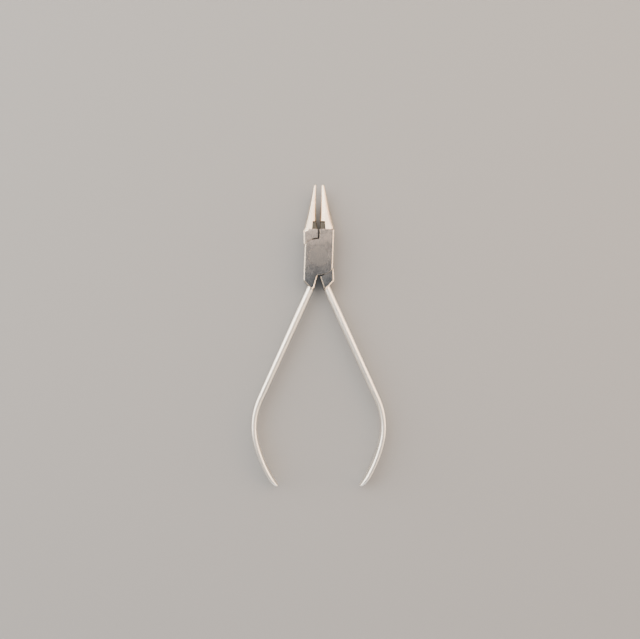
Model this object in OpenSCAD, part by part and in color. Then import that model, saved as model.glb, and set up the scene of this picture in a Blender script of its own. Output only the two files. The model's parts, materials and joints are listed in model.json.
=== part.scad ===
// Round nose pliers with a small wire cutter at the base of the jaws.
//
// Two forged halves cross in a lap joint and turn on one flush rivet.
// The pliers lie on their back face: +Y runs to the tips, +X to the right,
// +Z up through the front face. The origin is on the rivet's axis, in the
// plane of the back face. Both halves are drawn closed, in one orientation
// (jaw on the right, handle on the left, plate in front), then placed.

/* [Head] */
// Width of the head across both cheeks
head_w = 12.2; // [11.8:0.1:12.8]
// Thickness of the head from back face to front face
head_t = 9; // [8.6:0.1:9.6]
// Radius of the round lap plate of each half
lap_r = 7.95; // [7.8:0.05:8.1]
// Gap left between the two cheeks when the tips meet
cheek_gap = 0.16; // [0.1:0.02:0.3]
// Height of the cheeks above the pivot, where the flat faces end
cheek_y = 11.8; // [11.6:0.1:12.2]
// Bevel along the long edges of the head
head_bevel = 0.5; // [0.3:0.05:0.6]
// Depth of the flat on the lap plate that leaves a slit under the cheek
slit_w = 0.5; // [0.3:0.05:0.6]

/* [Pivot] */
// Radius of the rivet's shank
shank_r = 2.6; // [2.2:0.1:3]
// Radius of the rivet's flush head, in the front face
rivet_head_r = 4.25; // [3.8:0.05:4.5]
// Radius of the rivet's peened tail, in the back face
rivet_tail_r = 3.6; // [3.2:0.1:4]
// Running clearance round the rivet and between the plates
running = 0.04; // [0.03:0.01:0.08]
// Angle between the halves as they lie at rest, zero when the tips meet
rest_open = 4; // [1:0.5:8]

/* [Jaws] */
// Distance from the pivot to the tips
tip_y = 31.3; // [29:0.1:34]
// Width of the thicker jaw at its tip
right_tip_w = 1.2; // [1:0.1:1.6]
// Width of the slimmer jaw at its tip
left_tip_w = 0.85; // [0.7:0.05:1.2]
// Height at which the thicker jaw's outer side begins to taper
right_taper_y = 13.1; // [12.6:0.1:13.6]
// Height at which the slimmer jaw's outer side begins to taper
left_taper_y = 11.1; // [10.8:0.1:11.6]
// Set-back of the slimmer jaw's inner side, beside its cutter
left_setback = 0.72; // [0.4:0.02:0.9]

/* [Cutter] */
// Height of the pocket from the end of the cheek to its far wall
pocket_h = 3.4; // [3.2:0.1:3.8]
// Depth of the pocket across the jaw, at the cheek
pocket_w = 2.5; // [2.2:0.1:2.8]
// Height of the insert; the rest of the pocket stays open
insert_h = 2.85; // [2.5:0.05:3]
// Thickness of the insert, front to back
insert_t = 6.2; // [5.6:0.1:6.6]
// Bevel on each side of the cutting edge
edge_bevel_w = 0.45; // [0.3:0.05:0.6]

/* [Handles] */
// Length of the straight part of a handle
straight_len = 51.4; // [48:0.2:56]
// Angle of the straight part from the head's centre line
splay = 22.4; // [21.5:0.1:23.5]
// Radius of the bend
bend_r = 28.85; // [26:0.5:32]
// Angle through which the bend turns
bend_angle = 38.75; // [36:0.5:41]
// Radius of the gently curved tail after the bend
tail_r = 56.8; // [50:0.5:65]
// Length of the tail after the bend
tail_len = 20.6; // [17:0.2:24]
// Width of a handle beside the head
handle_w = 2.95; // [2.7:0.05:3.2]
// Width of a handle at its end
tail_w = 1.95; // [1.7:0.05:2.3]
// Thickness of a handle beside the head, front to back
handle_t = 5.2; // [4.6:0.1:5.8]
// Thickness of a handle at its tail, front to back
tail_t = 6.2; // [5.6:0.1:7]

/* [Hidden] */

$fn = 96;

steel_colour = [0.72, 0.71, 0.69];
rivet_colour = [0.62, 0.61, 0.60];
carbide_colour = [0.45, 0.43, 0.40];

half_w = head_w / 2;
mid_z = head_t / 2;

// How far a cutting solid reaches past the faces it cuts
over = 1;

// The flat underside of a half's lap plate, half a clearance above the middle of the head
lap_z = mid_z + running / 2;

// Small notches in the sides, where the plate's round edge meets them
notch_y = sqrt(lap_r * lap_r - half_w * half_w);
side_notch = 0.6;

// The plate's round edge is flattened a little towards the slot and towards the crotch
flat_angle = 99.5;
crotch_flat = 0.2;

// Behind the other half's plate, the root is eased beside the crotch by a flat cut
ease_angle = 245;
ease_z = 4;

// Countersinks of the rivet's two ends
head_sink = rivet_head_r - shank_r;
tail_sink = rivet_tail_r - shank_r;

// The crotch between the handles and the shoulders above them
crotch_x = 0.3;
crotch_y = -8.3;
shoulder_y = -10.5;
root_end = [-1.6, -13.3];
root_side = [-2.5, -14.1];

// Slope of the cheek's outer side above the height where a jaw begins to taper
cheek_slope = 0.275;
bevel_overrun = 0.6;

// Where the straight part of a handle begins, and how far it reaches into the root
handle_from = [3.4, -14.13];
handle_root = 2;
handle_round = 6;
end_blunt = 0.1;

// A handle swells slightly below the head and slims towards the bend
swell_at = 0.25;
swell = 0.1;
slim_at = 0.9;
slim = 0.3;
bend_extra = 0.2;

// Where each jaw's inner side starts and ends, across from the centre line
right_base_in = -0.1;
right_tip_in = 0.05;
left_tip_in = 0.03;

// A jaw is round at the tip; towards the head it grows deeper than wide, and squarer
tip_round = 0.5;
tip_blunt = 0.12;
depth_fade = 1.15;
base_square = 2.6;
square_fade = 4;
face_inset = 0.3;

// The jaw's root inside the cheek
stem_inset = 2;
stem_power = 3;

pocket_slant = 0.4;
insert_clear = 0.03;
left_edge_recede = 0.5;

sides = 24;
handle_power = 2.5;

// ---------- outlines and lofts ----------

// A closed ring of points on a squarish ellipse; power 2 is a true ellipse
function ring(w, t, power) =
    [for (i = [0 : sides - 1])
        let (a = 360 * (i + 0.5) / sides, c = cos(a), s = sin(a))
        [w / 2 * sign(c) * pow(abs(c), 2 / power), t / 2 * sign(s) * pow(abs(s), 2 / power)]];

// Skins a list of rings and closes both ends; seen from the last ring, each runs anticlockwise
module skin(rings) {
    n = len(rings[0]);
    last = len(rings) - 1;
    points = [for (r = rings) for (p = r) p];
    walls = [for (k = [0 : last - 1]) for (i = [0 : n - 1])
        let (j = (i + 1) % n, a = k * n, b = (k + 1) * n)
        each [[a + j, a + i, b + i], [a + j, b + i, b + j]]];
    near_cap = [for (i = [0 : n - 1]) i];
    far_cap = [for (i = [n - 1 : -1 : 0]) last * n + i];
    polyhedron(points, concat([near_cap], walls, [far_cap]));
}

// ---------- jaw ----------

// Outer and inner side of a jaw at height y, in the closed position
function jaw_outer(y, taper_y, tip_out) =
    y < taper_y ? half_w : half_w + (tip_out - half_w) * (y - taper_y) / (tip_y - taper_y);
function jaw_inner(y, base_in, tip_in) =
    base_in + (tip_in - base_in) * (y - cheek_y) / (tip_y - cheek_y);

// Depth and squareness at the fraction f of the way from the cheek to the tip
function jaw_depth(tip_w, f) = tip_w + (head_t - face_inset - tip_w) * pow(1 - f, depth_fade);
function jaw_power(f) = 2 + base_square * pow(1 - f, square_fade);
function jaw_tip_scale(y) =
    let (u = max(0, (y - tip_y + tip_round) / tip_round)) sqrt(1 - (1 - tip_blunt) * u * u);

module jaw(taper_y, tip_in, tip_w, base_in) {
    heights = concat(
        [cheek_y],
        [for (k = [1 : 11]) cheek_y + (tip_y - tip_round - cheek_y) * k / 11],
        [for (k = [1 : 3]) tip_y - tip_round + tip_round * sin(90 * k / 3)]
    );
    stem = [for (p = ring(half_w - stem_inset, head_t - stem_inset, stem_power))
        [half_w / 2 - p[0], cheek_y - stem_inset, mid_z + p[1]]];
    skin(concat([stem], [for (y = heights)
        let (
            f = (y - cheek_y) / (tip_y - cheek_y),
            outer = jaw_outer(y, taper_y, tip_in + tip_w),
            inner = y > cheek_y ? jaw_inner(y, base_in, tip_in) : cheek_gap / 2,
            w = (outer - inner) * jaw_tip_scale(y),
            t = jaw_depth(tip_w, f) * jaw_tip_scale(y),
            mid = (outer + inner) / 2
        )
        [for (p = ring(w, t, jaw_power(f))) [mid - p[0], y, mid_z + p[1]]]]));
}

// ---------- handle ----------

bend_len = bend_r * bend_angle * PI / 180;
handle_end = straight_len + bend_len + tail_len;

function along(a) = [sin(a), -cos(a)];
function inward(a) = [-cos(a), -sin(a)];
function heading(s) =
    s < straight_len ? splay
    : s < straight_len + bend_len ? splay - (s - straight_len) / bend_r * 180 / PI
    : splay - bend_angle - (s - straight_len - bend_len) / tail_r * 180 / PI;

bend_start = handle_from + straight_len * along(splay);
bend_centre = bend_start + bend_r * inward(splay);
bend_finish = bend_centre - bend_r * inward(splay - bend_angle);
tail_centre = bend_finish + tail_r * inward(splay - bend_angle);

function centre_line(s) =
    s < straight_len ? handle_from + s * along(splay)
    : s < straight_len + bend_len ? bend_centre - bend_r * inward(heading(s))
    : tail_centre - tail_r * inward(heading(s));

function handle_width(s) = lookup(s, [
    [0, handle_w],
    [swell_at * straight_len, handle_w + swell],
    [slim_at * straight_len, handle_w - slim],
    [straight_len + bend_len / 2, tail_w + bend_extra],
    [handle_end, tail_w]
]);
function handle_depth(s) = handle_t + (tail_t - handle_t) * max(0, s) / handle_end;

// The end is rounded off from its outer side
function end_scale(s) =
    let (u = max(0, (s - handle_end + handle_round) / handle_round)) sqrt(1 - (1 - end_blunt) * u * u);

module handle() {
    stations = concat(
        [-handle_root],
        [for (k = [0 : 8]) straight_len * k / 8],
        [for (k = [1 : 12]) straight_len + bend_len * k / 12],
        [for (k = [1 : 5]) straight_len + bend_len + (tail_len - handle_round) * k / 5],
        [for (k = [1 : 6]) handle_end - handle_round + handle_round * sin(90 * k / 6)]
    );
    skin([for (s = stations)
        let (
            c = centre_line(s),
            n = inward(heading(s)),
            w = handle_width(s) * end_scale(s),
            shift = (handle_width(s) - w) / 2,
            t = handle_depth(s) * sqrt(end_scale(s))
        )
        [for (p = ring(w, t, handle_power))
            let (q = c + (shift + p[0]) * n) [-q[0], q[1], mid_z + p[1]]]]);
}

// ---------- head ----------

// Outline of one half's head, with the corners that belong to the other half still on it
module head_outline(taper_y) {
    polygon([
        [-half_w, shoulder_y],
        root_side,
        root_end,
        [-crotch_x, crotch_y],
        [half_w, crotch_y],
        [half_w, min(cheek_y, taper_y)],
        [half_w - max(0, cheek_y - taper_y) * cheek_slope, cheek_y],
        [-half_w, cheek_y]
    ]);
}

// The lap plate: round, with a flat towards the slot and a shallower one towards the crotch
module lap_plate() {
    translate([0, 0, -2 * over])
        intersection() {
            cylinder(r = lap_r, h = head_t + 4 * over);
            rotate([0, 0, flat_angle])
                translate([crotch_flat - lap_r, -head_w, 0])
                    cube([2 * lap_r - crotch_flat - slit_w, 2 * head_w, head_t + 4 * over]);
        }
}

// The two corners outside the lap plate, where the other half's cheek and root lie
module other_half_room() {
    difference() {
        union() {
            translate([-head_w, 0, -over])
                cube([head_w + cheek_gap / 2, cheek_y + over, head_t + 2 * over]);
            translate([-crotch_x, -head_w, -over])
                cube([head_w, head_w, head_t + 2 * over]);
        }
        lap_plate();
    }
}

// Takes a bevel off the edges that run from a to b at the heights low and high, the solid on their left
module bevel_edges(a, b, size, low = 0, high = head_t) {
    run = b - a;
    depth = size / sqrt(2);
    for (side = [[low, 135], [high, 45]])
        translate([a[0], a[1], side[0]])
            rotate([0, 0, atan2(run[1], run[0])])
                rotate([side[1], 0, 0])
                    translate([-bevel_overrun, -2 * size, -depth])
                        cube([norm(run) + 2 * bevel_overrun, 4 * size, 3 * size]);
}

// Room behind a half's plate for the other half's plate
module lap_room() {
    translate([0, 0, -over])
        cylinder(r = lap_r + running, h = lap_z + over);
}

// The flat cut that eases the root beside the crotch
module root_ease() {
    translate([0, 0, -over])
        rotate([0, 0, ease_angle])
            translate([lap_r - over, 0, 0])
                cube([over, half_w, ease_z + over]);
}

// A V-shaped notch down the side of the head, from the back up to the height top
module side_groove(x, y, top) {
    translate([x, y, -over])
        rotate([0, 0, 45])
            translate([-side_notch / 2, -side_notch / 2, 0])
                cube([side_notch, side_notch, top + over]);
}

// Notches where the plates' round edges come out between the halves
module side_notches() {
    for (s = [-1, 1]) {
        side_groove(-s * half_w, s * notch_y, head_t + over);
        side_groove(s * half_w, s * notch_y, mid_z - running);
    }
}

module pocket() {
    translate([0, 0, -over])
        linear_extrude(head_t + 2 * over)
            polygon([
                [-over, cheek_y],
                [pocket_w, cheek_y],
                [pocket_w - pocket_slant, cheek_y + pocket_h],
                [-over, cheek_y + pocket_h]
            ]);
}

// One half, closed, with its jaw on the right and its plate in front
module half(taper_y, tip_in, tip_w, base_in) {
    difference() {
        union() {
            difference() {
                linear_extrude(head_t) head_outline(taper_y);
                bevel_edges([half_w, -notch_y], [half_w, taper_y], head_bevel);
                bevel_edges([-half_w, notch_y], [-half_w, shoulder_y], head_bevel);
                bevel_edges([-half_w, shoulder_y], root_side, head_bevel);
                bevel_edges(root_end, [-crotch_x, crotch_y], head_bevel);
                other_half_room();
                root_ease();
            }
            jaw(taper_y, tip_in, tip_w, base_in);
            handle();
        }
        lap_room();
        side_notches();
        pocket();
    }
}

// ---------- pieces ----------

module opened(side) {
    rotate([0, 0, side * rest_open / 2]) children();
}

// Turns a half over, so that its plate is at the back and its jaw on the left
module flipped() {
    translate([0, 0, head_t]) rotate([0, 180, 0]) children();
}

module front_half() {
    color(steel_colour)
        opened(-1)
            difference() {
                half(right_taper_y, right_tip_in, right_tip_w, right_base_in);
                translate([0, 0, -over]) cylinder(r = shank_r + running, h = head_t + 2 * over);
                translate([0, 0, head_t - head_sink])
                    cylinder(r1 = shank_r + running, r2 = rivet_head_r + running, h = head_sink);
            }
}

module rear_half() {
    color(steel_colour)
        opened(1)
            difference() {
                flipped() half(left_taper_y, left_tip_in, left_tip_w, left_setback);
                translate([0, 0, -over]) cylinder(r = shank_r, h = head_t + 2 * over);
                cylinder(r1 = rivet_tail_r, r2 = shank_r, h = tail_sink);
            }
}

module pivot_rivet() {
    color(rivet_colour) {
        cylinder(r1 = rivet_tail_r, r2 = shank_r, h = tail_sink);
        cylinder(r = shank_r, h = head_t);
        translate([0, 0, head_t - head_sink])
            cylinder(r1 = shank_r, r2 = rivet_head_r, h = head_sink);
    }
}

// The insert's cutting edge is on its left, bevelled from both faces
module insert(recede) {
    low = mid_z - insert_t / 2;
    edge_end = [insert_clear + recede, cheek_y + insert_h];
    edge_start = [insert_clear, cheek_y];
    difference() {
        translate([0, 0, low])
            linear_extrude(insert_t)
                polygon([
                    edge_start,
                    [pocket_w, cheek_y],
                    [pocket_w - pocket_slant * insert_h / pocket_h, cheek_y + insert_h],
                    edge_end
                ]);
        bevel_edges(edge_end, edge_start, edge_bevel_w, low, low + insert_t);
    }
}

module cutter_insert_right() {
    color(carbide_colour) opened(-1) insert(0);
}

module cutter_insert_left() {
    color(carbide_colour) opened(1) flipped() insert(left_edge_recede);
}

front_half();
rear_half();
pivot_rivet();
cutter_insert_right();
cutter_insert_left();
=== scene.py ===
"""Round nose pliers: the visual model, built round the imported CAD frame."""
import json
import math

import bmesh
import bpy
import numpy as np
from mathutils import Matrix, Vector


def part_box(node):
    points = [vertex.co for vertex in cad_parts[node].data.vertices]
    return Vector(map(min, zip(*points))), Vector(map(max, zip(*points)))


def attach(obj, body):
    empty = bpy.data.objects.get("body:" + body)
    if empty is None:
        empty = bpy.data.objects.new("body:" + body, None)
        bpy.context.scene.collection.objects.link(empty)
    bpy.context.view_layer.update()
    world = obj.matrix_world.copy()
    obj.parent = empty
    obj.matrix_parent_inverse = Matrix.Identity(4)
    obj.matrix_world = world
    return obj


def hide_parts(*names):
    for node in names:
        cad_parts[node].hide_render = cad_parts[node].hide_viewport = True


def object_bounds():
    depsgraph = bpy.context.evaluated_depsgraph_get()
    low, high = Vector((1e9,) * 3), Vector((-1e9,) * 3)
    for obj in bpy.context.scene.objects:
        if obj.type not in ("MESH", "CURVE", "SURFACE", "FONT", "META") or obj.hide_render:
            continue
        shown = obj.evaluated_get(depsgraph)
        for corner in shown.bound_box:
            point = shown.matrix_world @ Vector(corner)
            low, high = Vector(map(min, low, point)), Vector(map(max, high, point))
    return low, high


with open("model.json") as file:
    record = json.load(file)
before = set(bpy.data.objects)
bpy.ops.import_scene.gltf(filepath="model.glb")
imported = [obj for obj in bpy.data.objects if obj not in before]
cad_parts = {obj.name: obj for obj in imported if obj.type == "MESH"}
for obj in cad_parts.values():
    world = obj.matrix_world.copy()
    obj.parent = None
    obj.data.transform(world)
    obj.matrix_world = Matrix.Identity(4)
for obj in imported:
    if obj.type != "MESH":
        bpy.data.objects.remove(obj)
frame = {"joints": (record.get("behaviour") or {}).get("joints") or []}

MM = 0.001
cad_low, cad_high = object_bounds()

# ---------------------------------------------------------------- sizes, in millimetres
# Read from the frame: overall box, rivet, opening angle at rest
head_t = (cad_high.z - cad_low.z) / MM
mid_z = head_t / 2
rivet_low, rivet_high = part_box("pivot_rivet")
rivet_head_r = (rivet_high.x - rivet_low.x) / 2 / MM
hinge = frame["joints"][0]
rest_open = -hinge["range_deg"][0]

# The head, as in the CAD model
head_w = 12.2
half_w = head_w / 2
lap_r = 7.95
running = 0.04
lap_z = mid_z + running / 2
cheek_gap = 0.16
cheek_y = 11.8
notch_y = math.sqrt(lap_r**2 - half_w**2)
side_notch = 0.6
slit_w = 0.5
flat_angle = 99.5
crotch_flat = 0.2
ease_angle = math.radians(245)
ease_z = 4.0
crotch = (-0.3, -8.3)
shoulder_y = -10.5
cheek_slope = 0.275
root_end = (-1.6, -13.3)
root_side = (-2.5, -14.1)

# Width of the broken edge along the lap, and how far a cutting solid reaches past what it cuts:
# in general, and where it flares out through a broken edge
edge_break = 0.1
over = 1.0
rim_over = 0.02

# Bevels round the head: their widths, where the width changes, and the bevel's profile,
# which holds (drop, inset) in bevel widths, with softened corners
side_bevel = 0.5
top_bevel = 0.3
corner_bevel = 0.5
crotch_bevel_share = 0.8
bevel_profile = [(1.1, 0.0), (0.92, 0.04), (0.04, 0.92), (0.0, 1.1)]
bevel_run_out = 1.6
top_bevel_from = 2.4
far_bevel_to = 3

# The slanted outer corner of the slimmer half's cheek: where the cut starts along the cheek's
# end, how far it comes down the side, its slope, and the cutting solid's reach
slant_in = 2.9
slant_drop = 1.5
slant_angle = math.radians(24)
slant_reach = 6.0

# The rivet
shank_r = 2.6
rivet_tail_r = 3.6
head_sink = rivet_head_r - shank_r
tail_sink = rivet_tail_r - shank_r

# Softened rims of the rivet and its bores, the rivet's fit in the rear half, and the radii and
# depths of the faint steps turned in its two ends
rivet_rim = 0.03
bore_rim = 0.04
bore_past = 0.01
cone_end = 0.06
press_clear = 0.02
turned_steps = (0.4, 1.6)
tail_dish = 0.01
head_dish = (0.004, 0.006)

# Jaws
tip_y = 31.3
right_jaw = {"taper_y": 13.1, "tip_in": 0.05, "tip_w": 1.2, "base_in": -0.1}
left_jaw = {"taper_y": 11.1, "tip_in": 0.03, "tip_w": 0.85, "base_in": 0.72}
tip_round = 0.5
tip_blunt = 0.03
round_power = 2
depth_fade = 1.15
base_square = 2.6
square_fade = 4
face_inset = 0.3
stem_inset = 2.0
stem_power = 3
jaw_steps = 64
nose_steps = 8

# Cutter
pocket_h = 3.4
pocket_w = 2.5
pocket_slant = 0.4
insert_h = 2.85
insert_clear = 0.03
left_edge_recede = 0.5
edge_bevel_w = 0.45
seat_clear = 0.005
insert_soft = 0.05

# Handles
straight_len = 51.4
splay = math.radians(22.4)
bend_r = 28.85
bend_angle = math.radians(38.75)
tail_r = 56.8
tail_len = 20.6
handle_w = 2.95
tail_w = 1.95
handle_t = 5.2
tail_t = 6.2
handle_from = np.array([3.4, -14.13])
handle_root = 2.0
handle_round = 6.0
end_blunt = 0.1
crown = 0.25
crown_turns = (30, 60, 80)
skin_inset = 0.02
swell_at = 0.25
swell = 0.1
slim_at = 0.9
slim = 0.3
bend_extra = 0.2
station_gap = 0.75
end_steps = 14
bend_len = bend_r * bend_angle
handle_end = straight_len + bend_len + tail_len


# ---------------------------------------------------------------- mesh tools
# Sines and cosines below this are taken as zero
tiny = 1e-9


def new_object(name, verts, faces, uvs=None):
    """A mesh object from points in millimetres; uvs holds one (u, v) per face corner, in millimetres."""
    mesh = bpy.data.meshes.new(name)
    mesh.from_pydata([tuple(v) for v in np.asarray(verts, float) * MM], [], [list(f) for f in faces])
    layer = mesh.uv_layers.new(name="grain")
    if uvs is not None:
        layer.data.foreach_set("uv", np.asarray(uvs, np.float32).ravel())
    mesh.validate()
    obj = bpy.data.objects.new(name, mesh)
    bpy.context.scene.collection.objects.link(obj)
    return obj


def ring(width, depth, power, sides):
    """Points on a squarish ellipse about the origin; power 2 is a true ellipse."""
    a = np.arange(sides) * 2 * math.pi / sides
    c, s = np.cos(a), np.sin(a)
    c[np.abs(c) < tiny] = 0
    s[np.abs(s) < tiny] = 0
    return np.stack([
        width / 2 * np.sign(c) * np.abs(c) ** (2 / power),
        depth / 2 * np.sign(s) * np.abs(s) ** (2 / power),
    ], 1)


def bar_ring(width, depth, sides):
    """Points round a bar with flat sides and fully rounded front and back edges."""
    a = (np.arange(sides) + 0.5) * 2 * math.pi / sides
    return np.stack([
        width / 2 * np.cos(a),
        width / 2 * np.sin(a) + np.sign(np.sin(a)) * max(0, depth - width) / 2,
    ], 1)


def loft(name, rings, along):
    """Closed skin through rings of 3-D points, with the grain running along it.
    Seen from the last ring, the rings run anticlockwise."""
    rings = np.asarray(rings)
    count, sides = rings.shape[:2]
    around = np.zeros((count, sides + 1))
    step = np.linalg.norm(np.roll(rings, -1, 1) - rings, axis=2)
    around[:, 1:] = np.cumsum(step, 1)
    faces, uvs = [], []
    for k in range(count - 1):
        for i in range(sides):
            j = (i + 1) % sides
            faces.append((k * sides + i, k * sides + j, (k + 1) * sides + j, (k + 1) * sides + i))
            uvs += [(around[k, i], along[k]), (around[k, i + 1], along[k]),
                    (around[k + 1, i + 1], along[k + 1]), (around[k + 1, i], along[k + 1])]
    for k, order in ((0, range(sides - 1, -1, -1)), (count - 1, range(sides))):
        faces.append([k * sides + i for i in order])
        uvs += [(around[k, i], along[k]) for i in order]
    return new_object(name, rings.reshape(-1, 3), faces, uvs)


def stacked_faces(levels, count):
    """Faces of a closed stack of rings of count points each, from the bottom ring up."""
    faces = [[i for i in range(count - 1, -1, -1)]]
    for k in range(levels - 1):
        for i in range(count):
            j = (i + 1) % count
            faces.append((k * count + i, k * count + j, (k + 1) * count + j, (k + 1) * count + i))
    faces.append([(levels - 1) * count + i for i in range(count)])
    return faces


def planar_grain(obj):
    """Lays the grain along Y on a mesh of mostly flat faces."""
    mesh = obj.data
    layer = mesh.uv_layers["grain"]
    for loop in mesh.loops:
        x, y, z = mesh.vertices[loop.vertex_index].co / MM
        layer.data[loop.index].uv = (x + z, y)
    return obj


def slab(name, outline, levels):
    """A closed prism. The outline is anticlockwise, a list of (x, y, width).
    levels holds (z, inset); each corner moves in by the inset times its own width."""
    points = np.array([p[:2] for p in outline], float)
    widths = np.array([p[2] for p in outline], float)
    forward = np.roll(points, -1, 0) - points
    forward /= np.linalg.norm(forward, axis=1, keepdims=True)
    normal_out = np.stack([forward[:, 1], -forward[:, 0]], 1)
    normal_in = np.roll(normal_out, 1, 0)
    mitre = (normal_out + normal_in) / (1 + (normal_out * normal_in).sum(1, keepdims=True))
    verts, count = [], len(points)
    for z, inset in levels:
        moved = points - mitre * (widths * inset)[:, None]
        drop = z(widths) if callable(z) else np.full(count, z)
        verts += [(x, y, d) for (x, y), d in zip(moved, drop)]
    return planar_grain(new_object(name, verts, stacked_faces(len(levels), count)))


def lathe(name, profile, sides=160):
    """A closed solid of revolution about the pivot; profile holds (radius, z) from the bottom up."""
    verts = []
    for r, z in profile:
        for i in range(sides):
            a = 2 * math.pi * i / sides
            verts.append((r * math.cos(a), r * math.sin(a), z))
    return planar_grain(new_object(name, verts, stacked_faces(len(profile), sides)))


def combine(obj, other, operation):
    """Adds another solid to obj, or takes it away, and removes the other one."""
    cut = obj.modifiers.new("combine", "BOOLEAN")
    cut.operation = operation
    cut.solver = "EXACT"
    cut.object = other
    bpy.context.view_layer.update()
    result = bpy.data.meshes.new_from_object(obj.evaluated_get(bpy.context.evaluated_depsgraph_get()))
    obj.modifiers.clear()
    obj.data = result
    bpy.data.objects.remove(other)
    return obj


def clean(obj, angle=28, weld=0.002, large_faces=90):
    """Welds stray points, shades smooth up to an angle, and lets the large faces set the normals."""
    mesh = obj.data
    bm = bmesh.new()
    bm.from_mesh(mesh)
    bmesh.ops.remove_doubles(bm, verts=bm.verts, dist=weld * MM)
    bmesh.ops.dissolve_degenerate(bm, edges=bm.edges, dist=weld * MM)
    bm.to_mesh(mesh)
    bm.free()
    mesh.shade_smooth()
    mesh.set_sharp_from_angle(angle=math.radians(angle))
    weighted = obj.modifiers.new("even_shading", "WEIGHTED_NORMAL")
    weighted.keep_sharp = True
    weighted.weight = large_faces
    return obj


# ---------------------------------------------------------------- jaws
def jaw_section(y, jaw):
    """Width, depth, squareness and middle of a closed jaw at height y."""
    f = (y - cheek_y) / (tip_y - cheek_y)
    tip_out = jaw["tip_in"] + jaw["tip_w"]
    outer = half_w
    if y > jaw["taper_y"]:
        outer += (tip_out - half_w) * (y - jaw["taper_y"]) / (tip_y - jaw["taper_y"])
    inner = cheek_gap / 2
    if y > cheek_y:
        inner = jaw["base_in"] + (jaw["tip_in"] - jaw["base_in"]) * f
    width = outer - inner
    depth = jaw["tip_w"] + (head_t - face_inset - jaw["tip_w"]) * max(0, 1 - f) ** depth_fade
    u = max(0, (y - tip_y + tip_round) / tip_round)
    end = math.sqrt(1 - (1 - tip_blunt) * u * u)
    power = round_power + base_square * max(0, 1 - f) ** square_fade
    return width * end, depth * end, power, (outer + inner) / 2


def make_jaw(jaw, sides=72):
    """A jaw with its rounded nose, and a smaller stem that ends inside the cheek."""
    nose_y = tip_y - tip_round
    body = [cheek_y + (nose_y - cheek_y) * k / jaw_steps for k in range(jaw_steps + 1)]
    turns = [math.pi / 2 * k / nose_steps for k in range(1, nose_steps + 1)]
    nose = [nose_y + tip_round * math.sin(a) for a in turns]
    stem_y = cheek_y - stem_inset
    stem = ring(half_w - stem_inset, head_t - stem_inset, stem_power, sides)
    rings = [np.stack([half_w / 2 - stem[:, 0], np.full(sides, stem_y), mid_z + stem[:, 1]], 1)]
    for y in body + nose:
        width, depth, power, middle = jaw_section(y, jaw)
        section = ring(width, depth, power, sides)
        rings.append(np.stack([middle - section[:, 0], np.full(sides, y), mid_z + section[:, 1]], 1))
    return loft("jaw", [r[::-1] for r in rings], [stem_y] + body + nose)


# ---------------------------------------------------------------- handles
def heading(s):
    """Which way the handle runs at length s: the angle outwards from straight down."""
    if s < straight_len:
        return splay
    if s < straight_len + bend_len:
        return splay - (s - straight_len) / bend_r
    return splay - bend_angle - (s - straight_len - bend_len) / tail_r


def inward(a):
    """The direction square to a heading, towards the middle of the tool."""
    return np.array([-math.cos(a), -math.sin(a)])


def centre_line(s):
    """Where the middle of the handle is at length s, on the right-hand side of the tool."""
    straight = np.array([math.sin(splay), -math.cos(splay)])
    if s < straight_len:
        return handle_from + s * straight
    bend_centre = handle_from + straight_len * straight + bend_r * inward(splay)
    if s < straight_len + bend_len:
        return bend_centre - bend_r * inward(heading(s))
    finish = bend_centre - bend_r * inward(splay - bend_angle)
    return finish + tail_r * (inward(splay - bend_angle) - inward(heading(s)))


def handle_width(s):
    """A slight swell below the head, slimmer before the bend, and slimmer still in the tail."""
    return float(np.interp(
        s,
        [0, swell_at * straight_len, slim_at * straight_len, straight_len + bend_len / 2, handle_end],
        [handle_w, handle_w + swell, handle_w - slim, tail_w + bend_extra, tail_w],
    ))


def end_scale(s):
    """The end is rounded off from its outer side."""
    u = max(0, (s - handle_end + handle_round) / handle_round)
    return math.sqrt(1 - (1 - end_blunt) * u * u)


def make_handle(sides=56):
    """The handle from inside the head to its rounded end, on the left of a closed half."""
    plain_len = handle_end - handle_round
    plain = [k * station_gap for k in range(int(plain_len / station_gap))]
    turns = [math.pi / 2 * k / end_steps for k in range(end_steps + 1)]
    end = [plain_len + (handle_round - crown) * math.sin(a) for a in turns]
    stations = [-handle_root] + plain + end
    rings = []
    for s in stations:
        n = inward(heading(s))
        full = handle_width(s) - 2 * skin_inset
        width = full * end_scale(s)
        shift = (full - width) / 2
        depth = (handle_t + (tail_t - handle_t) * max(0, s) / handle_end) * math.sqrt(end_scale(s))
        section = bar_ring(width, depth, sides)
        flatwise = centre_line(s) + (shift + section[:, :1]) * n
        rings.append(np.stack([-flatwise[:, 0], flatwise[:, 1], mid_z + section[:, 1]], 1))
    # a small crown closes the blunt end
    last, before = rings[-1], rings[-2]
    middle = last.mean(0)
    push = (last - before).mean(0)
    push /= np.linalg.norm(push)
    for turn in crown_turns:
        a = math.radians(turn)
        rings.append(middle + (last - middle) * math.cos(a) + push * crown * math.sin(a))
        stations.append(handle_end - crown + crown * math.sin(a))
    return loft("handle", [r[::-1] for r in rings], stations)


# ---------------------------------------------------------------- head
def chamfer_levels():
    """Levels of a slab whose front and back edges have a bevel with softened corners."""
    low = [(lambda w, d=drop: w * d, inset) for drop, inset in reversed(bevel_profile)]
    high = [(lambda w, d=drop: head_t - w * d, inset) for drop, inset in bevel_profile]
    return low + high


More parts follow.
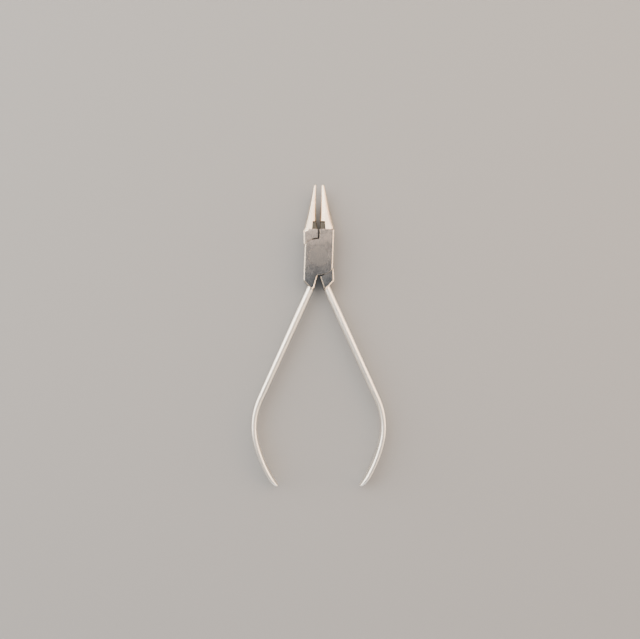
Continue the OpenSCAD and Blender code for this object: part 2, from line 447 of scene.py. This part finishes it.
def make_block(taper_y):
    """The head with the other half's corners still on it."""
    outline = [
        (-half_w, shoulder_y, side_bevel),
        (*root_side, side_bevel),
        (*root_end, side_bevel),
        (*crotch, side_bevel * crotch_bevel_share),
        (half_w, crotch[1], side_bevel),
        (half_w, min(cheek_y, taper_y) - bevel_run_out, side_bevel),
    ]
    if taper_y < cheek_y:
        outline.append((half_w, taper_y, corner_bevel))
    outline += [
        (half_w - max(0, cheek_y - taper_y) * cheek_slope, cheek_y, corner_bevel),
        (half_w - top_bevel_from, cheek_y, top_bevel),
        (-half_w, cheek_y, top_bevel),
        (-half_w, cheek_y - far_bevel_to, side_bevel),
    ]
    return slab("head", outline, chamfer_levels())


def plate_edge(start, stop, shrink, steps=90):
    """The lap plate's edge from one angle to another, in degrees: round, with its two flats."""
    points = []
    for a in np.radians(np.linspace(start, stop, steps)):
        towards_flat = math.cos(a - math.radians(flat_angle))
        radius = lap_r
        if towards_flat > 0:
            radius = min(radius, (lap_r - slit_w) / towards_flat)
        else:
            radius = min(radius, (crotch_flat - lap_r) / towards_flat)
        points.append(((radius - shrink) * math.cos(a), (radius - shrink) * math.sin(a)))
    return points


def corner_cutter(inner_x, upper):
    """What the other half takes out of the block: all that lies outside the lap plate in one corner.
    Its front rim flares, so that the plate's edge and the cheek's inner edge are broken."""
    far = 2 * lap_r
    layers = [
        (-over, 0.0),
        (head_t - edge_break, 0.0),
        (head_t + rim_over, edge_break + rim_over),
        (head_t + over, over),
    ]
    rings = []
    for z, flare in layers:
        if upper:
            x = inner_x + flare
            start = 90 - math.degrees(math.asin(x / (lap_r - slit_w)))
            points = [(x, far), (-far, far), (-far, 0.0)] + plate_edge(180, start, flare)
        else:
            x = inner_x - flare
            start = 270 + math.degrees(math.asin(x / (lap_r - crotch_flat)))
            points = [(x, -far), (far, -far), (far, 0.0)] + plate_edge(360, start, flare)
        rings.append([(px, py, z) for px, py in points])
    verts = [point for layer in rings for point in layer]
    return planar_grain(new_object("corner_cutter", verts, stacked_faces(len(layers), len(rings[0]))))


def lap_cutters():
    """Room behind the plate for the other half, and the flat cut that eases the root beside the crotch."""
    r = lap_r + running
    room = [(r + over, -over), (r + edge_break + rim_over, -rim_over), (r, edge_break), (r, lap_z)]
    outward = np.array([math.cos(ease_angle), math.sin(ease_angle)])
    sideways = np.array([-math.sin(ease_angle), math.cos(ease_angle)])
    corners = [(lap_r - over, 0), (lap_r, 0), (lap_r, half_w), (lap_r - over, half_w)]
    outline = [(*(a * outward + b * sideways), 0) for a, b in corners]
    return [lathe("lap_room", room), slab("ease", outline, [(-over, 0), (ease_z, 0)])]


def groove_cutter(x, y, size, top):
    """A V-shaped notch down the side of the head, from the back up to the height top."""
    half = size / math.sqrt(2)
    outline = [(x + half, y, 0), (x, y + half, 0), (x - half, y, 0), (x, y - half, 0)]
    return slab("groove", outline, [(-over, 0), (top, 0)])


def pocket_cutter():
    """The open pocket across the base of a jaw, which holds the insert."""
    outline = [
        (-over, cheek_y, 0),
        (pocket_w, cheek_y, 0),
        (pocket_w - pocket_slant, cheek_y + pocket_h, 0),
        (-over, cheek_y + pocket_h, 0),
    ]
    return slab("pocket", outline, [(-over, 0), (head_t + over, 0)])


def cheek_corner_cutter():
    """A slanted cut over the outer corner of a cheek, on the side away from the plate,
    so that the head's face falls away into the jaw's outer flank."""
    start, end = Vector((slant_in, cheek_y)), Vector((half_w, cheek_y - slant_drop))
    run = end - start
    away = Vector((-run.y, run.x)).normalized()
    verts = []
    for corner in (start - run, end + run):
        outer = corner + away * slant_reach
        verts += [
            (*corner, 0.0),
            (*outer, slant_reach * math.tan(slant_angle)),
            (*outer, -over),
            (*corner, -over),
        ]
    faces = [(0, 1, 2, 3), (7, 6, 5, 4)] + [(i, i + 4, (i + 1) % 4 + 4, (i + 1) % 4) for i in range(4)]
    return planar_grain(new_object("cheek_corner", verts, faces))


# The finishes of a half, in the order of its materials, and how bevels are told from flat faces:
# by the size of their normal's Z part, and by its Y part where they face the tips
# painted light: the head's finish is a darker, shaded copy of one steel; the jaws, handles and sloping
# bevels take brighter, lit copies
SHADED_HEAD, BRIGHT_JAWS_AND_BEVELS, BRIGHT_HANDLES = range(3)
zone_slack = 0.02
steepest, flattest, facing_tips = 0.2, 0.97, 0.5


def zone(centre, normal):
    """Which of a closed half's finishes a face has, partly by which way it faces. The bevels along the
    head and the slanted cheek corner take the jaws' brighter colour, a painted highlight; the bevel across
    a cheek's end, facing the tips, keeps the head's darker colour, a painted shade."""
    x, y = centre.x / MM, centre.y / MM
    if y > cheek_y - zone_slack:
        return BRIGHT_JAWS_AND_BEVELS
    if x < 0 and y < shoulder_y - (x + half_w):
        return BRIGHT_HANDLES
    sloping = steepest < abs(normal.z) < flattest
    return BRIGHT_JAWS_AND_BEVELS if sloping and normal.y < facing_tips else SHADED_HEAD


def make_half(name, jaw, extra_cutters=()):
    """One half, closed, with its jaw on the right and its plate in front."""
    half = make_block(jaw["taper_y"])
    half.name = name
    cutters = [corner_cutter(cheek_gap / 2, True), corner_cutter(crotch[0], False)] + lap_cutters()
    cutters += extra_cutters
    for s in (-1, 1):
        cutters.append(groove_cutter(-s * half_w, s * notch_y, side_notch, head_t + over))
        cutters.append(groove_cutter(s * half_w, s * notch_y, side_notch, mid_z - running))
    for cutter in cutters:
        combine(half, cutter, "DIFFERENCE")
    combine(half, make_jaw(jaw), "UNION")
    combine(half, pocket_cutter(), "DIFFERENCE")
    combine(half, make_handle(), "UNION")
    half.data.materials.clear()
    for face in half.data.polygons:
        face.material_index = zone(face.center, face.normal)
    return half


# ---------------------------------------------------------------- placing
def opened(side):
    """The turn from closed to the resting position; side is 1 for the rear half, -1 for the front."""
    return Matrix.Rotation(math.radians(side * rest_open / 2), 4, "Z")


flipped = Matrix.Translation((0, 0, head_t * MM)) @ Matrix.Rotation(math.pi, 4, "Y")


def place(obj, matrix):
    """Moves the mesh itself, so that the object keeps the frame's origin."""
    obj.data.transform(matrix)
    obj.data.update()
    return obj


def make_front_half():
    """The half whose plate is in front, bored for the rivet's head to turn in."""
    half = make_half("front_half_forging", right_jaw)
    shank, mouth = shank_r + running, rivet_head_r + running
    bore = [
        (shank, -over),
        (shank, head_t - head_sink),
        (mouth - cone_end, head_t - cone_end),
        (mouth, head_t - bore_rim),
        (mouth + bore_rim + bore_past, head_t + bore_past),
        (mouth + over, head_t + over),
    ]
    combine(half, lathe("bore", bore), "DIFFERENCE")
    return place(half, opened(-1))


def make_rear_half():
    """The same half turned over, with the other jaw, bored to hold the rivet's tail."""
    half = make_half("rear_half_forging", left_jaw, [cheek_corner_cutter()])
    place(half, opened(1) @ flipped)
    shank, mouth = shank_r + press_clear, rivet_tail_r + press_clear
    bore = [
        (mouth + over, -over),
        (mouth + bore_rim, -bore_past),
        (mouth, bore_rim),
        (shank, tail_sink),
        (shank, head_t + over),
    ]
    return combine(half, lathe("bore", bore), "DIFFERENCE")


def make_rivet():
    """Flush head with a softened rim and faint turned steps, shank, and peened tail."""
    inner, middle = turned_steps
    profile = [
        (inner, 0.0),
        (middle, tail_dish),
        (rivet_tail_r - rivet_rim, 0.0),
        (rivet_tail_r, rivet_rim),
        (shank_r, tail_sink),
        (shank_r, head_t - head_sink),
        (rivet_head_r, head_t - rivet_rim),
        (rivet_head_r - rivet_rim, head_t),
        (middle, head_t - head_dish[0]),
        (inner, head_t - head_dish[1]),
    ]
    return lathe("rivet", profile, sides=192)


def make_insert(name, recede):
    """A carbide block with its cutting edge on the left, bevelled from both faces."""
    low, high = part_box("cutter_insert_right")
    b, z0, z1 = edge_bevel_w, low.z / MM, high.z / MM
    corners = [(z0, b), (z0 + b, 0.0), (z1 - b, 0.0), (z1, b)]
    ends = [
        (cheek_y + seat_clear, insert_clear, pocket_w - seat_clear),
        (cheek_y + insert_h, insert_clear + recede, pocket_w - pocket_slant * insert_h / pocket_h),
    ]
    verts, faces = [], []
    for y, edge_x, back_x in ends:
        for z, back in corners:
            verts.append((edge_x + back, y, z))
        verts += [(back_x, y, z1), (back_x, y, z0)]
    count = len(verts) // 2
    faces.append([i for i in range(count)])
    faces.append([count + i for i in range(count - 1, -1, -1)])
    for i in range(count):
        j = (i + 1) % count
        faces.append((j, i, count + i, count + j))
    obj = new_object(name, verts, faces)
    bm = bmesh.new()
    bm.from_mesh(obj.data)
    bmesh.ops.recalc_face_normals(bm, faces=bm.faces)
    edges = list(bm.edges)
    bmesh.ops.bevel(bm, geom=edges, offset=insert_soft * MM, segments=2, affect="EDGES", profile=0.5)
    bm.to_mesh(obj.data)
    bm.free()
    return planar_grain(obj)


# ---------------------------------------------------------------- materials
# Widths in millimetres of the bright worn edges, and how far the surface turns over them
steel_edge = 0.12
carbide_edge = 0.08
flat_turn, edge_turn = 0.995, 0.93

# Where stains, streaks and scratches begin and end in their noise, and how strongly they show
stain_band, stain_share = (0.38, 0.68), 0.8
streak_band, streak_share, streak_tone = (0.35, 0.7), 0.45, 0.84
scratch_from, scratch_band = 0.69, 0.03
edge_share, edge_gain, edge_limit = 0.7, 1.2, 0.93

# Roughness added or taken away by the polishing grain, smudges, scratches and worn edges
grain_band, grain_rough = (0.25, 0.75), (-0.06, 0.08)
smudge_band, smudge_rough = (0.3, 0.7), (-0.03, 0.05)
scratch_rough = 0.08
edge_rough = 0.08
scratch_height = -0.4
bump_strength = 0.6

# The head's colour darkens and cools towards the bottom between these heights on the tool: painted shade
painted_shade_top, painted_shade_bottom = 10.0, -10.0


class Nodes:
    """Short ways to add and join shader nodes in one material."""

    def __init__(self, name):
        self.mat = bpy.data.materials.new(name)
        self.mat.use_nodes = True
        self.tree = self.mat.node_tree
        self.tree.nodes.clear()
        out = self.tree.nodes.new("ShaderNodeOutputMaterial")
        self.shader = self.tree.nodes.new("ShaderNodeBsdfPrincipled")
        self.link(self.shader.outputs["BSDF"], out.inputs["Surface"])

    def add(self, kind, **inputs):
        node = self.tree.nodes.new("ShaderNode" + kind)
        for name, value in inputs.items():
            socket = node.inputs[name.replace("_", " ")]
            if hasattr(value, "is_output"):
                self.link(value, socket)
            else:
                socket.default_value = value
        return node

    def link(self, output, socket):
        self.tree.links.new(output, socket)

    def grain(self, across, along, detail=5.0):
        """Noise drawn out along the grain; across and along are streaks per millimetre."""
        uv = self.add("UVMap")
        uv.uv_map = "grain"
        mapping = self.add("Mapping", Vector=uv.outputs["UV"], Scale=(across, along, 1.0))
        drawn_out = mapping.outputs["Vector"]
        return self.add("TexNoise", Vector=drawn_out, Scale=1.0, Detail=detail).outputs["Fac"]

    def cloud(self, size_mm, detail=3.0):
        """Even, blotchy noise with blotches of about the given size."""
        space = self.add("TexCoord").outputs["Object"]
        return self.add("TexNoise", Vector=space, Scale=1 / (size_mm * MM), Detail=detail).outputs["Fac"]

    def height(self, low, high):
        """0 below the height low on the tool, 1 above the height high, in millimetres along Y."""
        split = self.add("SeparateXYZ", Vector=self.add("TexCoord").outputs["Object"])
        return self.remap(split.outputs["Y"], low * MM, high * MM, 0.0, 1.0)

    def remap(self, value, low, high, to_low, to_high):
        node = self.add("MapRange", Value=value, To_Min=to_low, To_Max=to_high)
        node.inputs["From Min"].default_value = low
        node.inputs["From Max"].default_value = high
        return node.outputs["Result"]

    def sums(self, operation, a, b):
        node = self.tree.nodes.new("ShaderNodeMath")
        node.operation = operation
        for value, socket in ((a, node.inputs[0]), (b, node.inputs[1])):
            if hasattr(value, "is_output"):
                self.link(value, socket)
            else:
                socket.default_value = value
        return node.outputs["Value"]

    def mix(self, factor, first, second):
        node = self.tree.nodes.new("ShaderNodeMix")
        node.data_type = "RGBA"
        self.link(factor, node.inputs["Factor"])
        for value, socket in ((first, node.inputs["A"]), (second, node.inputs["B"])):
            if hasattr(value, "is_output"):
                self.link(value, socket)
            else:
                socket.default_value = (*value, 1)
        return node.outputs["Result"]

    def bump(self, height, depth_mm, strength):
        node = self.add("Bump", Height=height, Distance=depth_mm * MM, Strength=strength)
        return node.outputs["Normal"]


def scratches(nodes, across, along, share):
    """A thin scatter of fine lines: 1 in a line, 0 elsewhere."""
    lines = nodes.grain(across, along, detail=2.0)
    return nodes.remap(lines, share, share + scratch_band, 0.0, 1.0)


def worn_edges(nodes, width_mm):
    """1 along the edges, where handling has polished the steel, and 0 on the faces."""
    rounded = nodes.add("Bevel", Radius=width_mm * MM).outputs["Normal"]
    turned = nodes.tree.nodes.new("ShaderNodeVectorMath")
    turned.operation = "DOT_PRODUCT"
    nodes.link(rounded, turned.inputs[0])
    nodes.link(nodes.add("NewGeometry").outputs["Normal"], turned.inputs[1])
    return nodes.remap(turned.outputs["Value"], flat_turn, edge_turn, 0.0, 1.0)


def steel(name, colour, stain, roughness, grain_depth, grain=(14.0, 0.5), painted_shade_colour=None):
    """Steel with a drawn-out polishing grain, faint stains, scratches and brighter worn edges.
    Down the head it darkens towards the lower colour given, a painted shade."""
    nodes = Nodes(name)
    shader = nodes.shader
    shader.inputs["Metallic"].default_value = 1.0
    streaks = nodes.grain(*grain)
    coarse = nodes.grain(grain[0] * 0.18, grain[1] * 0.2, detail=3.0)
    blotches = nodes.cloud(3.5)
    lines = scratches(nodes, grain[0] * 0.7, grain[1] * 0.35, scratch_from)
    edges = worn_edges(nodes, steel_edge)

    stains_and_painted_shade = nodes.mix(nodes.remap(blotches, *stain_band, 0.0, stain_share), colour, stain)
    # painted shade: the colour darkens and cools down the head
    if painted_shade_colour:
        stains_and_painted_shade = nodes.mix(nodes.height(painted_shade_top, painted_shade_bottom), stains_and_painted_shade, painted_shade_colour)
    dark = [streak_tone * c for c in painted_shade_colour or colour]
    streaked = nodes.mix(nodes.remap(coarse, *streak_band, 0.0, streak_share), stains_and_painted_shade, dark)
    bright = [min(edge_limit, edge_gain * c) for c in colour]
    worn = nodes.mix(nodes.sums("MULTIPLY", edges, edge_share), streaked, bright)
    nodes.link(worn, shader.inputs["Base Color"])

    base = nodes.remap(streaks, *grain_band, roughness + grain_rough[0], roughness + grain_rough[1])
    smudged = nodes.sums("ADD", base, nodes.remap(blotches, *smudge_band, *smudge_rough))
    scratched = nodes.sums("ADD", smudged, nodes.sums("MULTIPLY", lines, scratch_rough))
    polished = nodes.sums("SUBTRACT", scratched, nodes.sums("MULTIPLY", edges, edge_rough))
    nodes.link(polished, shader.inputs["Roughness"])

    height = nodes.sums("ADD", streaks, nodes.sums("MULTIPLY", lines, scratch_height))
    nodes.link(nodes.bump(height, grain_depth, bump_strength), shader.inputs["Normal"])
    return nodes.mat


def carbide_material():
    """Dark ground carbide with grinding lines across the insert and a fine granular skin."""
    nodes = Nodes("ground_carbide")
    shader = nodes.shader
    shader.inputs["Metallic"].default_value = 1.0
    dark, light, edge_colour = (0.065, 0.061, 0.052), (0.1, 0.094, 0.08), (0.2, 0.185, 0.165)
    ground = nodes.grain(0.6, 16.0)
    grit = nodes.cloud(0.12, detail=2.0)
    edges = worn_edges(nodes, carbide_edge)
    tone = nodes.mix(nodes.remap(grit, 0.35, 0.65, 0.0, 1.0), dark, light)
    worn = nodes.mix(nodes.sums("MULTIPLY", edges, 0.6), tone, edge_colour)
    nodes.link(worn, shader.inputs["Base Color"])
    nodes.link(nodes.remap(ground, 0.3, 0.7, 0.3, 0.42), shader.inputs["Roughness"])
    nodes.link(nodes.bump(nodes.sums("ADD", ground, grit), 0.006, bump_strength), shader.inputs["Normal"])
    return nodes.mat


def rivet_material(colour, painted_shade_colour, rings_per_mm=9.0):
    """Satin steel turned in a lathe: rings about the pivot."""
    nodes = Nodes("turned_steel_painted_shade")
    shader = nodes.shader
    shader.inputs["Metallic"].default_value = 1.0
    space = nodes.add("TexCoord").outputs["Object"]
    split = nodes.add("SeparateXYZ", Vector=space)
    squares = [nodes.sums("MULTIPLY", split.outputs[axis], split.outputs[axis]) for axis in "XY"]
    radius = nodes.sums("SQRT", nodes.sums("ADD", *squares), 0.0)
    rings = nodes.add("TexNoise", Scale=1.0, Detail=4.0)
    rings.noise_dimensions = "1D"
    nodes.link(nodes.sums("MULTIPLY", radius, rings_per_mm / MM), rings.inputs["W"])
    blotches = nodes.cloud(2.5)
    # painted shade: the rivet darkens down the tool as the head does
    with_painted_shade = nodes.mix(nodes.height(painted_shade_top, painted_shade_bottom), colour, painted_shade_colour)
    dark = [0.88 * c for c in colour]
    tone = nodes.mix(nodes.remap(blotches, 0.35, 0.7, 0.0, 0.6), with_painted_shade, dark)
    nodes.link(tone, shader.inputs["Base Color"])
    nodes.link(nodes.remap(rings.outputs["Fac"], 0.3, 0.7, 0.22, 0.27), shader.inputs["Roughness"])
    nodes.link(nodes.bump(rings.outputs["Fac"], 0.005, 0.5), shader.inputs["Normal"])
    return nodes.mat


def floor_material():
    """Matt pale board with a very fine tooth."""
    nodes = Nodes("pale_board")
    shader = nodes.shader
    tooth = nodes.cloud(0.6)
    nodes.link(nodes.mix(tooth, (0.225, 0.225, 0.225), (0.245, 0.245, 0.245)), shader.inputs["Base Color"])
    shader.inputs["Roughness"].default_value = 0.9
    return nodes.mat


# ---------------------------------------------------------------- stage
# Lens and sensor width, and the camera's place over the tool, in millimetres
camera_lens = 39.24
camera_sensor = 36.0
camera_x = 0.516
camera_y = -26.75
camera_height = 300


def make_floor():
    """A flat board just under the tool."""
    half, gap = 3.0 / MM, 0.02 * MM
    corners = [(-half, -half, 0), (half, -half, 0), (half, half, 0), (-half, half, 0)]
    floor = new_object("floor", corners, [(0, 1, 2, 3)])
    floor.location.z = cad_low.z - gap
    floor.data.materials.append(floor_material())


def make_light(name, location, size, radiance, colour):
    """A soft box of the given width and height in metres, turned towards the tool."""
    data = bpy.data.lights.new(name, "AREA")
    data.shape = "RECTANGLE"
    data.size, data.size_y = size
    data.energy = radiance * math.pi * size[0] * size[1]
    data.color = colour
    light = bpy.data.objects.new(name, data)
    light.location = location
    aim = Vector((0, -0.02, 0)) - Vector(location)
    light.rotation_euler = aim.to_track_quat("-Z", "Y").to_euler()
    bpy.context.scene.collection.objects.link(light)


def make_world(strength, colour):
    world = bpy.data.worlds.new("studio")
    world.use_nodes = True
    background = world.node_tree.nodes["Background"]
    background.inputs["Color"].default_value = (*colour, 1)
    background.inputs["Strength"].default_value = strength
    bpy.context.scene.world = world


def make_camera():
    """Straight above the tool, a little below the pivot, with the tips at the top of the picture."""
    data = bpy.data.cameras.new("camera")
    data.lens = camera_lens
    data.sensor_width = camera_sensor
    data.clip_start = 0.01
    data.clip_end = 20
    camera = bpy.data.objects.new("camera", data)
    camera.location = (camera_x * MM, camera_y * MM, (camera_height + mid_z) * MM)
    bpy.context.scene.collection.objects.link(camera)
    bpy.context.scene.camera = camera


# ---------------------------------------------------------------- the tool
make_camera()
make_floor()
make_world(0.48, (0.97, 0.985, 1.0))
# name, place and size in metres, radiance, colour
lights = [
    ("top_soft", (0.0, 0.42, 0.75), (0.7, 0.5), 4.0, (1.0, 0.88, 0.76)),
    ("over_left", (-0.38, 0.27, 0.72), (0.6, 0.5), 5.5, (1.0, 0.94, 0.87)),
    ("over_right", (0.38, 0.27, 0.72), (0.6, 0.5), 4.7, (1.0, 0.76, 0.55)),
    ("left_soft", (-0.72, 0.15, 0.4), (0.9, 0.6), 5.0, (1.0, 0.93, 0.84)),
    ("right_soft", (0.72, 0.15, 0.4), (0.9, 0.6), 4.5, (1.0, 0.70, 0.48)),
    ("left_low", (-0.9, 0.25, 0.12), (1.0, 0.22), 6.0, (1.0, 0.97, 0.93)),
    ("right_low", (0.9, -0.2, 0.12), (1.4, 0.22), 6.0, (1.0, 0.80, 0.62)),
    ("back_soft", (0.0, 1.0, 0.42), (1.4, 0.5), 3.0, (1.0, 0.96, 0.91)),
    ("low_soft", (0.0, -0.95, 0.5), (1.4, 0.5), 2.4, (0.94, 0.97, 1.0)),
]
for light in lights:
    make_light(*light)

# painted shade: the head steel's darker colour stands in for the dim light its flat faces reflect
head_steel_painted_dark = steel(
    "satin_head_painted_dark", colour=(0.41, 0.355, 0.32), stain=(0.40, 0.335, 0.29),
    roughness=0.24, grain_depth=0.005, painted_shade_colour=(0.14, 0.149, 0.16),
)
# painted highlight: the jaws' brighter, warm colour stands in for the lamps they reflect
jaw_steel_painted_bright = steel(
    "polished_jaw_painted_bright", colour=(0.72, 0.61, 0.485), stain=(0.71, 0.58, 0.44),
    roughness=0.25, grain_depth=0.005,
)
# painted highlight: the handles' brighter colour stands in for the lamps they reflect
handle_steel_painted_bright = steel(
    "polished_handle_painted_bright", colour=(0.90, 0.85, 0.77), stain=(0.88, 0.80, 0.69),
    roughness=0.34, grain_depth=0.004, grain=(10.0, 0.3),
)
# painted shade: the rivet takes the head's darker colours, fading darker still down the tool
rivet_steel = rivet_material(colour=(0.395, 0.35, 0.315), painted_shade_colour=(0.15, 0.158, 0.17))
carbide = carbide_material()
half_materials = [head_steel_painted_dark, jaw_steel_painted_bright, handle_steel_painted_bright]

front_half = make_front_half()
rear_half = make_rear_half()
rivet = make_rivet()
right_insert = place(make_insert("right_insert", 0.0), opened(-1))
left_insert = place(make_insert("left_insert", left_edge_recede), opened(1) @ flipped)

# piece, the body it rides on, the CAD node it replaces, its slot, its materials
pieces = [
    (front_half, "front_half_body", "front_half", "satin_steel_front", half_materials),
    (rear_half, "rear_half_body", "rear_half", "satin_steel_rear", half_materials),
    (rivet, "rear_half_body", "pivot_rivet", "rivet_steel", [rivet_steel]),
    (right_insert, "front_half_body", "cutter_insert_right", "carbide", [carbide]),
    (left_insert, "rear_half_body", "cutter_insert_left", "carbide", [carbide]),
]
for piece, body, node, slot, materials in pieces:
    clean(piece)
    for material in materials:
        piece.data.materials.append(material)
    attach(piece, body)
    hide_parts(node)
